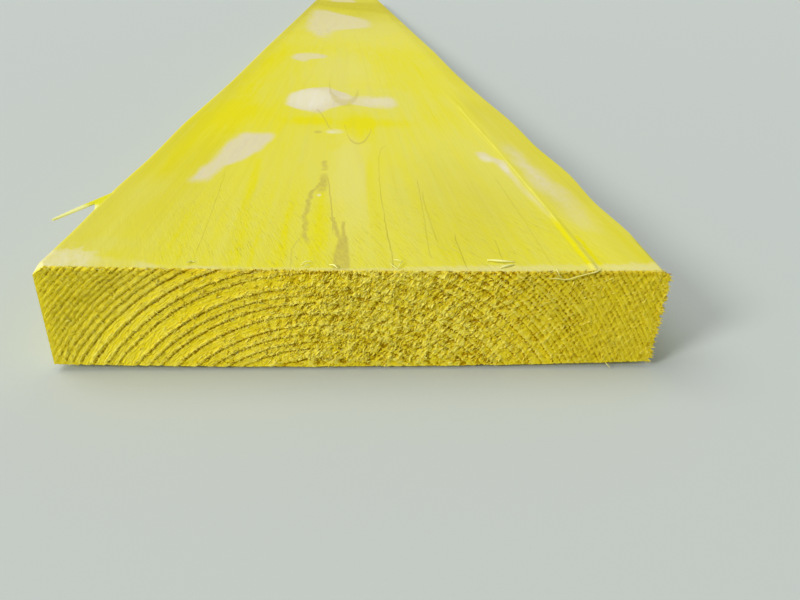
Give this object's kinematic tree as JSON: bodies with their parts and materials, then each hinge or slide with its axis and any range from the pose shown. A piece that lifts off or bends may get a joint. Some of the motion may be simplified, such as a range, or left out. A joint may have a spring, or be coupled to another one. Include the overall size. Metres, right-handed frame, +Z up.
{
  "type": "timber lumber plank",
  "caption": "Long flat sawn softwood plank, slightly cupped, dyed yellow all over with bare worn patches, a wavy sawn edge and a lifted splinter.",
  "frame": {"origin": "on the underside, under the middle of the plank's length and width, where it rests on the ground", "axes": "+X across the plank, +Y along it away from the worn end, +Z up out of its hollow top face"},
  "size_m": [0.2332, 3, 0.041],
  "materials": {
    "dyed_timber": "rough-sawn softwood, soaked with bright yellow dye, worn bare in places"
  },
  "bodies": {
    "root": {"plank": "dyed_timber"}
  },
  "joints": []
}
